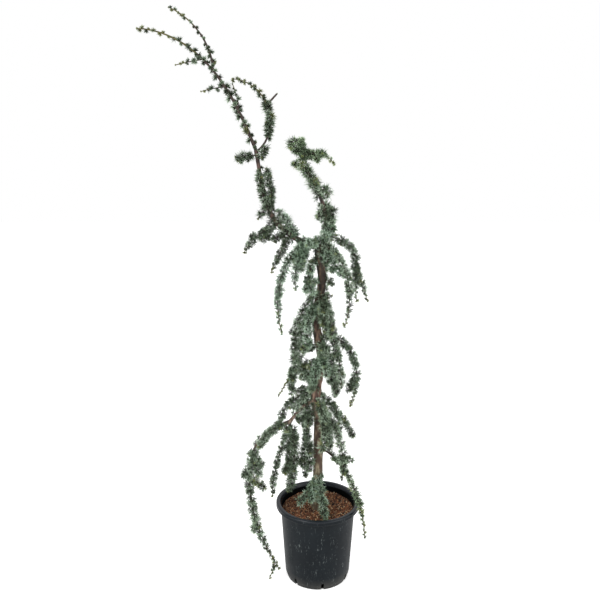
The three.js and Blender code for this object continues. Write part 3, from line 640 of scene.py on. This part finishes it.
# True for each point that lies in the wood, in the soil or in the pot's wall.
def inside_solid(points):
    inside = np.zeros(len(points), dtype=bool)
    for first in range(0, len(points), BATCH):
        batch = points[first:first + BATCH]
        gap = np.linalg.norm(batch[:, None] - wood_points[None], axis=2) - wood_radii[None]
        inside[first:first + BATCH] = gap.min(axis=1) < 0
    radius = np.hypot(points[:, 0], points[:, 1])
    height = points[:, 2]
    wall = lerp(POT.foot, POT.wall_top, height / LIP_FOOT)
    in_soil = (radius < wall) & (height > 0) & (height < SOIL.level + CLEAR.soil)
    in_wall = (np.abs(radius - wall + CLEAR.wall_middle) < CLEAR.wall) & (height > 0)
    in_wall &= height < LIP_FOOT
    in_lip = (radius > POT.wall_top - CLEAR.wall) & (radius < POT.rim + CLEAR.lip)
    in_lip &= (height > LIP_FOOT) & (height < POT.height + CLEAR.lip)
    return inside | in_soil | in_wall | in_lip


# Materials.
def set_inputs(node, values):
    for key, value in values.items():
        node.inputs[key].default_value = value


def new_material(name, colour, roughness, specular=0.5):
    material = bpy.data.materials.new(name)
    material.use_nodes = True
    look = {"Base Color": linear(colour), "Roughness": roughness, "Specular IOR Level": specular}
    set_inputs(material.node_tree.nodes["Principled BSDF"], look)
    return material


class Nodes:
    # A short way to add nodes to a material and to link them.
    def __init__(self, material):
        self.tree = material.node_tree
        self.shader = self.tree.nodes["Principled BSDF"]
        self.coords = self.add("TexCoord")

    def add(self, kind):
        return self.tree.nodes.new("ShaderNode" + kind)

    def link(self, source, target):
        self.tree.links.new(source, target)

    def show(self, source, socket="Base Color"):
        self.link(source, self.shader.inputs[socket])

    def mapped(self, scale):
        mapping = self.add("Mapping")
        set_inputs(mapping, {"Scale": scale})
        self.link(self.coords.outputs["Object"], mapping.inputs["Vector"])
        return mapping.outputs["Vector"]

    def noise(self, scale, detail=4.0, stretch=(1, 1, 1), roughness=0.55):
        node = self.add("TexNoise")
        set_inputs(node, {"Scale": scale, "Detail": detail, "Roughness": roughness})
        self.link(self.mapped(stretch), node.inputs["Vector"])
        return node.outputs["Fac"]

    def ramp(self, source, stops):
        node = self.add("ValToRGB")
        elements = node.color_ramp.elements
        while len(elements) < len(stops):
            elements.new(0.5)
        for element, (position, colour) in zip(elements, stops):
            element.position = position
            element.color = colour if not isinstance(colour, str) else linear(colour)
        self.link(source, node.inputs["Fac"])
        return node.outputs["Color"]

    def grey_ramp(self, source, *stops):
        return self.ramp(source, [(position, (level, level, level, 1)) for position, level in stops])

    def product(self, first, second):
        node = self.add("Math")
        node.operation = "MULTIPLY"
        self.link(first, node.inputs[0])
        self.link(second, node.inputs[1])
        return node.outputs[0]

    # Blends from one colour to another, each a colour or a socket, by a share from a socket.
    def mix(self, share, first, second):
        node = self.add("MixRGB")
        self.link(share, node.inputs["Fac"])
        for value, socket in ((first, node.inputs["Color1"]), (second, node.inputs["Color2"])):
            if isinstance(value, str):
                socket.default_value = linear(value)
            else:
                self.link(value, socket)
        return node.outputs["Color"]

    def height(self, low, high):
        split = self.add("SeparateXYZ")
        self.link(self.coords.outputs["Object"], split.inputs["Vector"])
        span = self.add("MapRange")
        set_inputs(span, {"From Min": low, "From Max": high})
        self.link(split.outputs["Z"], span.inputs["Value"])
        return span.outputs["Result"]

    def bump(self, source, strength, distance):
        node = self.add("Bump")
        set_inputs(node, {"Strength": strength, "Distance": distance})
        self.link(source, node.inputs["Height"])
        self.show(node.outputs["Normal"], "Normal")


# Bark in dark and pale patches. The trunk's is grey near the soil, reddish higher up and dark at the top.
def bark_material(name, colours):
    material = new_material(name, colours["mid"], roughness=0.85)
    nodes = Nodes(material)
    patches = nodes.noise(scale=70, detail=6, stretch=(1, 1, 0.35))

    def patched(*keys):
        return nodes.ramp(patches, [(stop, colours[key]) for stop, key in zip(BARK_STOPS, keys)])

    shown = patched("dark", "mid", "light")
    if "grey" in colours:
        shown = nodes.mix(nodes.height(*GREY_FOOT), patched("mid", "grey", "pale"), shown)
        shown = nodes.mix(nodes.height(*DARK_TOP), shown, patched("dark", "shade", "shine"))
    nodes.show(shown)
    grain = nodes.noise(scale=420, detail=5, stretch=(1, 1, 0.22))
    nodes.show(nodes.grey_ramp(grain, (0.3, 0.95), (0.7, 0.7)), "Roughness")
    nodes.bump(grain, strength=0.6, distance=0.0012)
    return material


# A rough surface that one noise flecks with colours and gives relief.
def flecked_material(name, colour, stops, roughness, scale, detail, strength, distance):
    material = new_material(name, colour, roughness)
    nodes = Nodes(material)
    flecks = nodes.noise(scale, detail)
    nodes.show(nodes.ramp(flecks, stops))
    nodes.bump(flecks, strength, distance)
    return material


# Moulded black plastic with fine upright scuffs, pale specks and dust round the foot.
def pot_material():
    material = new_material("black_plastic", PLASTIC["black"], roughness=0.5, specular=0.1)
    nodes = Nodes(material)
    streaks = nodes.noise(scale=60, detail=6, stretch=(1, 1, 0.3), roughness=0.75)
    specks = nodes.noise(scale=330, detail=2, stretch=(1, 1, 0.3))
    clouds = nodes.noise(scale=9, detail=4)
    scuffs = nodes.product(nodes.grey_ramp(streaks, (0.5, 0), (0.72, 1)),
                           nodes.grey_ramp(specks, (0.54, 0), (0.7, 0.8)))
    lowest = nodes.grey_ramp(nodes.height(low=0.0, high=0.05), (0.1, 0.4), (0.9, 0.0))
    dust = nodes.product(lowest, nodes.grey_ramp(clouds, (0.35, 0.3), (0.65, 1)))
    base = nodes.ramp(clouds, [(0.3, PLASTIC["black"]), (0.7, PLASTIC["worn"])])
    worn = nodes.mix(scuffs, base, PLASTIC["scuff"])
    nodes.show(nodes.mix(dust, worn, PLASTIC["dust"]))
    nodes.show(nodes.grey_ramp(streaks, (0.3, 0.42), (0.75, 0.62)), "Roughness")
    nodes.bump(streaks, strength=0.12, distance=0.0006)
    return material


# Trunk and boughs: a skin of plates, fissures and grain, with a collar round each shoot's root.
def limb_skin(name, radii, seed, material):
    path = paths[name]
    sides = radii.shape[1]
    turns = np.broadcast_to(np.arange(sides) / sides, (len(path.points), sides))
    distance = np.broadcast_to((path.shares * path.length)[:, None], turns.shape)
    size = np.minimum(1, radii.mean() / TRUNK.tip)
    relief = np.zeros(turns.shape)
    for layer, sizes in enumerate((PLATES, FISSURES, GRAIN)):
        columns = max(FEWEST_COLUMNS, int(sizes.columns * size))
        level = skin_noise(turns, distance, columns, sizes.cell, seed + layer)
        ridged = 1 - np.abs(2 * level - 1) if sizes is FISSURES else level
        relief += sizes.depth * size * (ridged - 0.5)
    for at, way in collars[name]:
        _, _, side, lift = path.at(at)
        turn = math.atan2(np.dot(way, lift), np.dot(way, side)) / (2 * math.pi)
        round_it = (turns - turn + 0.5) % 1 - 0.5
        gap = np.hypot(round_it * 2 * np.pi * radii, distance - at) / COLLAR.width
        relief += COLLAR.height * size * np.exp(-gap * gap)
    pile = Pile()
    pile.add(*tube(path, radii + relief, sides))
    place(pile.build(name + "_bark", [material]), "bark", name)


bark = bark_material("tree_bark", TREE_BARK)
dark_bark = bark_material("bough_bark", BOUGH_BARK)
low_bark = bark_material("low_bark", LOW_BARK)
trunk_turns = np.arange(TRUNK.sides) / TRUNK.sides
limb_skin("trunk", trunk_radii(paths["trunk"], trunk_turns), BARK_SEEDS.trunk, bark)
for number, name in enumerate(BOUGHS):
    radii = np.repeat(bough_radius(name, paths[name].shares)[:, None], BOUGH.sides, axis=1)
    look = dark_bark if name in DARK_BOUGHS else low_bark
    limb_skin(name, radii, BARK_SEEDS.bough + BARK_SEEDS.step * number, look)

# Stems of shoots, twigs and twiglets, old at their roots and young at their tips.
stems = Pile()
spurs_by_mass = {}
for name, tone, shoots, twigs, twiglets in growth:
    spurs = []
    for number, (path, row, seed) in enumerate(shoots + twigs + twiglets):
        points, faces = tube(path, stem_radius(path, row, path.shares), SHOOT.sides)
        ring = faces.max(axis=1) // SHOOT.sides
        young = ring > young_share(row) * len(path.points) if number < len(shoots) else False
        stems.add(points, faces, np.broadcast_to(young, len(faces)).astype(int))
        spurs += spurs_of(path, row, seed)
    spurs_by_mass[name] = spurs

for name, row in BOUGH_SPURS.items():
    spurs_by_mass[name] += bough_spurs(row)

# The spurs themselves: a short pointed stub each.
every_spur = [spur for spurs in spurs_by_mass.values() for spur in spurs]
for foot, head, way, *_ in every_spur:
    stub = Path(np.array([foot, head]), math.atan2(way[1], way[0]), np.linalg.norm(head - foot))
    stems.add(*tube(stub, np.full(2, SPUR.radius), SPUR.sides, point=SPUR.point))
twig_looks = [flecked_material("twig_" + age, colours[0], list(zip(TWIG_STOPS, colours)), **TWIG_LOOK)
              for age, colours in TWIG_BARK.items()]
place(stems.build("twigs", twig_looks), "bark")


# Needles: three-sided spindles that stand out of each spur in a half globe.
def needle_mesh(spurs, rng):
    _, heads, ways, reach, thin, shade, dense = (np.array(part) for part in zip(*spurs))
    count = np.rint(lerp(NEEDLE.count, NEEDLE.whip_count, thin) * dense).astype(int)
    owner = np.repeat(np.arange(len(spurs)), count)
    rank = np.arange(count.sum()) - np.repeat(np.cumsum(count) - count, count)
    tilt_cos = 1 - (rank + 0.5) / count[owner] * (1 - math.cos(math.radians(NEEDLE.spread)))
    tilt_sin = np.sqrt(1 - tilt_cos ** 2)
    turn = np.radians(rank * GOLDEN_ANGLE) + rng.random(len(spurs))[owner] * 2 * np.pi
    side = sideways(ways)
    lift = np.cross(ways, side)
    way = ways[owner] * tilt_cos[:, None]
    way += (side[owner] * np.cos(turn)[:, None] + lift[owner] * np.sin(turn)[:, None]) * tilt_sin[:, None]
    way = unit(way + rng.normal(0, NEEDLE.jitter, way.shape))
    length = (reach[owner] - NEEDLE.foot) * lerp(*NEEDLE.length, rng.random(len(owner)))
    root = heads[owner]
    tips = root + way * length[:, None]
    kept = ~(inside_solid(tips) | inside_solid(root + way * length[:, None] * 0.5))
    root, tips, way, owner = root[kept], tips[kept], way[kept], owner[kept]
    width = lerp(NEEDLE.width, NEEDLE.whip_width, thin)[owner]
    first = sideways(way)
    second = np.cross(way, first)
    waist = lerp(root, tips, NEEDLE.waist)
    corners = [root]
    for corner in range(3):
        angle = 2 * math.pi * corner / 3
        out = first * math.cos(angle) + second * math.sin(angle)
        corners.append(waist + out * width[:, None])
    corners.append(tips)
    points = np.stack(corners, axis=1).reshape(-1, 3)
    pattern = np.array([[0, 2, 1], [0, 3, 2], [0, 1, 3], [4, 1, 2], [4, 2, 3], [4, 3, 1]])
    faces = (pattern[None] + 5 * np.arange(len(owner))[:, None, None]).reshape(-1, 3)
    strayed = rng.random(len(owner)) < NEEDLE.stray
    needle_shade = np.where(strayed, rng.integers(0, SHADES.index("fresh"), len(owner)), shade[owner])
    # The three faces at a needle's foot take its foot colour, painted shade, and the three at its tip take
    # its tip colour.
    looks = (2 * needle_shade[:, None] + np.array([0, 0, 0, 1, 1, 1])[None]).ravel()
    return points, faces, looks


# Needles have plain colours, dealt out by rosette, so that they survive the export.
needle_rng = np.random.default_rng(NEEDLE.seed)
for tone, colours in NEEDLE_COLOURS.items():
    # Each shade has a foot material, whose dark colour is painted shade, and a tip material.
    looks = [new_material(f"needle_{tone}_{shade}_{part}", colour, **NEEDLE_LOOK)
             for shade, pair in zip(SHADES, colours) for part, colour in zip(("foot", "tip"), pair)]
    waiting = [name for name, mass_tone, *_ in growth if mass_tone == tone]
    number = 0
    while waiting:
        pile = Pile()
        joined = []
        triangles = 0
        number += 1
        while waiting:
            points, faces, shades = needle_mesh(spurs_by_mass[waiting[0]], needle_rng)
            if joined and triangles + len(faces) > PIECE_LIMIT:
                break
            pile.add(points, faces, shades)
            triangles += len(faces)
            joined.append(waiting.pop(0))
        place(pile.build(f"needles_{tone}_{number}", looks, smooth=False), f"needles_{tone}", *joined)


# The pot: a turned profile with a rolled lip, and notches cut into its foot.
def turned(profile, looks, sides):
    rings = np.array(profile, dtype=float)
    turn = 2 * np.pi * np.arange(sides) / sides
    points = round_points(rings[:, :1], turn, rings[:, 1:]).reshape(-1, 3)
    ends = [[0, 0, rings[0, 1]], [0, 0, rings[-1, 1]]]
    pile = Pile()
    faces = ring_faces(len(rings), sides)
    face_looks = np.concatenate([np.repeat(looks, 2 * sides), np.repeat([looks[0], looks[-1]], sides)])
    pile.add(np.concatenate([points, ends]), faces, face_looks)
    return pile


def arc(middle, radius, start, end, parts):
    angles = np.radians(np.linspace(start, end, parts + 1))
    return [(middle[0] + radius * math.cos(a), middle[1] + radius * math.sin(a)) for a in angles]


# The bands of the pot's profile from its foot, over the lip and down to its floor, each with its look.
# Offsets of a few millimetres ease the corners.
def pot_bands():
    foot, top, rim = POT.foot, POT.wall_top, POT.rim
    bend = POT.chamfer_height
    foot_edge = foot - POT.chamfer
    fillet = LIP_FOOT - PROFILE.fillet
    large, small = PROFILE.lip_round, PROFILE.edge_round
    wall = [(PROFILE.middle, 0), (foot_edge - 2, 0), (foot_edge, 0.6)]
    wall += [(foot - 0.6, bend - 1.5), (foot, bend + 0.5)]
    wall += [(lerp(foot, top, share), lerp(bend, fillet, share)) for share in (0.25, 0.5, 0.75)]
    under = [(top - 0.2, fillet), (top + 0.4, LIP_FOOT - 2.5), (top + 3, LIP_FOOT - 0.6), (rim - 8, LIP_FOOT)]
    lip_side = arc((rim - large, LIP_FOOT + 5.5), large, start=-80, end=0, parts=5)
    lip_edge = arc((rim - large, POT.height - large), large, start=0, end=90, parts=6)
    lip_edge += arc((top + 6, POT.height - small), small, start=90, end=165, parts=5)
    inside = [(INNER_TOP + 0.5, LIP_FOOT + 8), (INNER_TOP, LIP_FOOT + 3)]
    inside += [(foot - POT.wall, bend), (foot_edge - POT.wall, POT.floor)]
    inside += [(PROFILE.middle, POT.floor)]
    # The band under the lip and the inner wall take the nearly black look, painted shade; the lip's edge
    # takes the lip look, tinted as a painted reflection.
    return [(wall, OUTSIDE), (under, PAINTED_SHADE), (lip_side, OUTSIDE), (lip_edge, LIP_PAINTED_REFLECTION), (inside, PAINTED_SHADE)]


def notch_cutter(material):
    half = DRAIN.width / 2
    corner = DRAIN.corner
    outline = [(-half, -DRAIN.below), (half, -DRAIN.below)]
    outline += arc((half - corner, DRAIN.height - corner), corner, start=0, end=90, parts=4)
    outline += arc((corner - half, DRAIN.height - corner), corner, start=90, end=180, parts=4)
    flat = np.array(outline)
    middle = POT.foot - POT.wall
    ends = [middle + DRAIN.depth * end for end in (-0.5, 0.5)]
    centre = np.array([0, 0, DRAIN.height / 2])
    pile = Pile()
    for count in range(DRAIN.count):
        heading = math.radians(DRAIN.heading + 360 * count / DRAIN.count)
        out = np.array([math.cos(heading), math.sin(heading), 0])
        beside = np.array([-math.sin(heading), math.cos(heading), 0])
        face = flat[:, :1] * beside + flat[:, 1:] * np.array([0, 0, 1])
        rings = np.concatenate([face + out * end for end in ends])
        caps = [centre + out * end for end in ends]
        pile.add(np.concatenate([rings, caps]), ring_faces(2, len(flat)))
    return pile.build("notch_cutter", [material], smooth=False)


plastic = pot_material()
# The lip is glossier, and its colour is tinted bluer than the wall as a painted reflection on the rolled rim.
lip_plastic_painted_reflection = new_material("lip_plastic_painted_reflection", PLASTIC["lip"], **LIP_LOOK)
# The nearly black inside colour is painted shade.
inner_plastic_painted_shade = new_material("inner_plastic_painted_shade", PLASTIC["inside"], **INSIDE_LOOK)
pot_rings = [point for band, _ in pot_bands() for point in band]
pot_looks = [look for band, look in pot_bands() for _ in band]
pot = turned(pot_rings, pot_looks[:-1], POT.sides)
pot = pot.build("nursery_pot", [plastic, lip_plastic_painted_reflection, inner_plastic_painted_shade])
cutter = notch_cutter(plastic)
cut = pot.modifiers.new("notches", "BOOLEAN")
cut.operation = "DIFFERENCE"
cut.solver = "EXACT"
cut.object = cutter
evaluated = pot.evaluated_get(bpy.context.evaluated_depsgraph_get())
notched = bpy.data.meshes.new_from_object(evaluated)
pot.modifiers.clear()
pot.data = notched
bpy.data.objects.remove(cutter)
notched.set_sharp_from_angle(angle=math.radians(POT.sharp))
place(pot, "pot", "pot")


# The soil: a heaped bed with loose chips of bark on it.
def bed_height(radius, x, y):
    edge = INNER_TOP - SOIL.edge_gap
    dip = SOIL.edge_dip * smoothstep(radius, edge - SOIL.edge_width, edge)
    waves = np.sin(x * WAVES.x + WAVES.start) * np.cos(y * WAVES.y)
    waves = waves + WAVES.fine * np.sin(x * WAVES.fine_x - y * WAVES.fine_y)
    return SOIL.level - dip + SOIL.heap * waves


def soil_bed(material):
    outer = lerp(POT.foot, POT.wall_top, SOIL.level / LIP_FOOT)
    edge = outer - POT.wall - SOIL.gap
    radii = np.linspace(edge, SOIL.middle, SOIL.rings)
    turn = 2 * np.pi * np.arange(SOIL.sides) / SOIL.sides
    bed = round_points(radii[:, None], turn, 0.0)
    crumbs = np.random.default_rng(CHIPS.seed).normal(0, SOIL.crumb, bed.shape[:2])
    bed[..., 2] = bed_height(radii[:, None], bed[..., 0], bed[..., 1]) + crumbs
    skirt = round_points(POT.foot - POT.wall - SOIL.gap, turn, SOIL.underside)
    rings = np.concatenate([skirt[None], bed])
    ends = [[0, 0, SOIL.underside], [0, 0, SOIL.level]]
    pile = Pile()
    pile.add(np.concatenate([rings.reshape(-1, 3), ends]), ring_faces(len(rings), SOIL.sides))
    return pile.build("soil_bed", [material])


def bark_chips(materials):
    rng = np.random.default_rng(CHIPS.seed + 1)
    count = CHIPS.count
    reach = INNER_TOP - CHIPS.edge_gap
    radius = reach * np.sqrt(rng.random(count))
    turn = 2 * np.pi * rng.random(count)
    centre = round_points(radius, turn, 0.0)
    clear = radius > TRUNK.foot + FLARE.width + CHIPS.trunk_gap
    centre, radius = centre[clear], radius[clear]
    count = len(centre)
    sizes = np.stack([rng.uniform(*span, count) for span in (CHIPS.length, CHIPS.width, CHIPS.thick)], axis=1)
    yaw = 2 * np.pi * rng.random(count)
    pitch, roll = rng.normal(0, CHIPS.tilt, (2, count))
    along = round_points(np.cos(pitch), yaw, np.sin(pitch))
    beside = np.stack([-np.sin(yaw), np.cos(yaw), np.tan(roll)], axis=1)
    beside = unit(beside - along * np.sum(along * beside, axis=1, keepdims=True))
    up = np.cross(along, beside)
    centre[:, 2] = bed_height(radius, centre[:, 0], centre[:, 1]) + rng.uniform(*CHIPS.rise, count)
    signs = np.array([[x, y, z] for x in (-0.5, 0.5) for y in (-0.5, 0.5) for z in (-0.5, 0.5)])
    corners = signs[None] * sizes[:, None] * rng.uniform(1 - 2 * CHIPS.uneven, 1, (count, 8, 3))
    points = centre[:, None] + np.einsum("ncx,nxd->ncd", corners, np.stack([along, beside, up], axis=1))
    quads = [(0, 1, 3, 2), (4, 6, 7, 5), (0, 4, 5, 1), (2, 3, 7, 6), (0, 2, 6, 4), (1, 5, 7, 3)]
    pattern = np.array([tri for a, b, c, d in quads for tri in ((a, b, c), (a, c, d))])
    faces = (pattern[None] + 8 * np.arange(count)[:, None, None]).reshape(-1, 3)
    kinds = rng.choice(len(materials), count, p=CHIP_SHARES)
    pile = Pile()
    pile.add(points.reshape(-1, 3), faces, np.repeat(kinds, len(pattern)))
    return pile.build("bark_chips", materials, smooth=False)


soil_stops = [(stop, CHIP_COLOURS[name]) for name, stop in SOIL_STOPS.items()]
soil_look = flecked_material("soil_bed", CHIP_COLOURS["dark"], soil_stops, **SOIL_LOOK)
place(soil_bed(soil_look), "soil", "soil")
chip_looks = []
for name, colour in CHIP_COLOURS.items():
    shade = [CHIPS.grain * part for part in linear(colour)[:3]] + [1.0]
    stops = list(zip(CHIP_STOPS, (shade, colour)))
    chip_looks.append(flecked_material("chip_" + name, colour, stops, **CHIP_LOOK))
place(bark_chips(chip_looks), "soil")


# Floor, light and camera.
def stage_floor():
    half = FLOOR.half
    corners = np.array([[-half, -half, 0], [half, -half, 0], [half, half, 0], [-half, half, 0]], dtype=float)
    look = new_material("floor_white", FLOOR.colour, FLOOR.roughness, specular=0.0)
    glow = {"Emission Color": WHITE, "Emission Strength": FLOOR.glow}
    set_inputs(look.node_tree.nodes["Principled BSDF"], glow)
    pile = Pile()
    pile.add(corners, np.array([[0, 1, 2], [0, 2, 3]]))
    floor = pile.build("floor", [look])


def softbox(name, spot, target, size, power):
    light = bpy.data.lights.new(name, "AREA")
    light.shape = "DISK"
    light.size = size
    light.energy = power
    obj = new_object(name, light)
    obj.location = spot
    way = np.subtract(target, spot)
    pitch = math.atan2(math.hypot(way[0], way[1]), -way[2])
    obj.rotation_euler = (pitch, 0, math.atan2(-way[0], way[1]))


stage_floor()
for name, light in LIGHTS.items():
    softbox(name, **light)
world = bpy.data.worlds.new("studio")
world.use_nodes = True
set_inputs(world.node_tree.nodes["Background"], {"Color": WHITE, "Strength": DAYLIGHT})
bpy.context.scene.world = world
bpy.context.scene.view_settings.view_transform = "Standard"

lens = bpy.data.cameras.new("photo_camera")
lens.lens = CAMERA.lens
lens.sensor_width = CAMERA.sensor
camera = new_object("photo_camera", lens)
camera.location = CAMERA.place
camera.rotation_euler = (math.radians(90 - CAMERA.pitch), 0, 0)
bpy.context.scene.camera = camera
